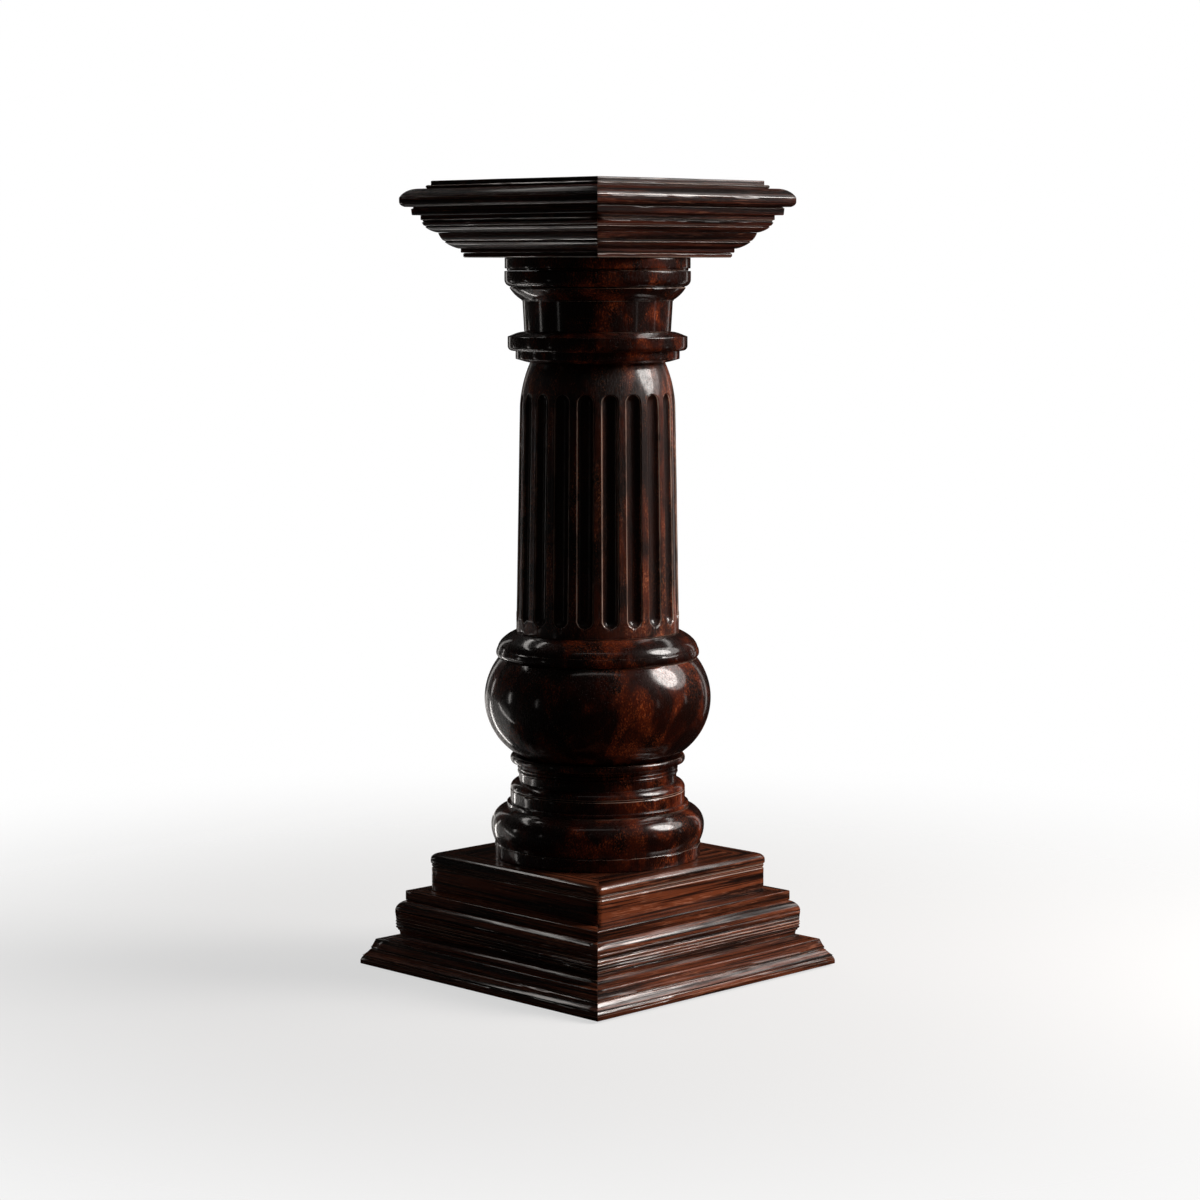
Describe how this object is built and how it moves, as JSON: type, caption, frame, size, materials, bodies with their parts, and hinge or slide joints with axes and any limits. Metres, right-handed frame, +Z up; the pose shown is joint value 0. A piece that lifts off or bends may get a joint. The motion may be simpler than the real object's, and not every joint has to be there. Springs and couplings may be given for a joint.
{
  "type": "pedestal column stand",
  "caption": "Square-topped pedestal column: stepped box plinth, turned torus, bulb and fluted shaft, ringed capital and moulded cap with a flat top for display.",
  "frame": {"origin": "centre of the footprint on the floor, under the column's axis", "axes": "+Z up along the column's axis; the front is -Y; the square's sides lie along X and Y"},
  "size_m": [0.395, 0.395, 0.914],
  "materials": {
    "turned_wood": "dark red-brown hardwood, stained and polished to a high gloss",
    "moulding_wood": "dark red-brown hardwood moulding, polished",
    "board_wood": "dark red-brown hardwood board, polished",
    "inner_wood": "unfinished secondary hardwood, hidden",
    "steel": "zinc-plated steel",
    "felt": "dense black felt"
  },
  "bodies": {
    "root": {"abacus_disc": "turned_wood", "base_mould_back": "moulding_wood", "base_mould_front": "moulding_wood", "base_mould_left": "moulding_wood", "base_mould_right": "moulding_wood", "base_screws": "steel", "bed_mould_back": "moulding_wood", "bed_mould_front": "moulding_wood", "bed_mould_left": "moulding_wood", "bed_mould_right": "moulding_wood", "bulb": "turned_wood", "cap_core": "board_wood", "cap_dowels": "inner_wood", "capital": "turned_wood", "column_foot": "turned_wood", "corner_block_back_left": "inner_wood", "corner_block_back_right": "inner_wood", "corner_block_front_left": "inner_wood", "corner_block_front_right": "inner_wood", "felt_pads": "felt", "fluted_shaft": "turned_wood", "foot_dowels": "inner_wood", "ledge_mould_back": "moulding_wood", "ledge_mould_front": "moulding_wood", "ledge_mould_left": "moulding_wood", "ledge_mould_right": "moulding_wood", "lower_collar": "turned_wood", "necking_rings": "turned_wood", "nosing_back": "moulding_wood", "nosing_front": "moulding_wood", "nosing_left": "moulding_wood", "nosing_right": "moulding_wood", "nosing_splines": "inner_wood", "ovolo_mould_back": "moulding_wood", "ovolo_mould_front": "moulding_wood", "ovolo_mould_left": "moulding_wood", "ovolo_mould_right": "moulding_wood", "plinth_bearer": "inner_wood", "plinth_board_back": "board_wood", "plinth_board_front": "board_wood", "plinth_board_left": "board_wood", "plinth_board_right": "board_wood", "plinth_top_board": "board_wood", "shaft_collar": "turned_wood", "soffit_board": "board_wood", "tie_rod": "steel", "tie_rod_nuts": "steel", "tie_rod_washers": "steel", "top_panel": "board_wood", "torus_mould_back": "moulding_wood", "torus_mould_front": "moulding_wood", "torus_mould_left": "moulding_wood", "torus_mould_right": "moulding_wood"}
  },
  "joints": []
}
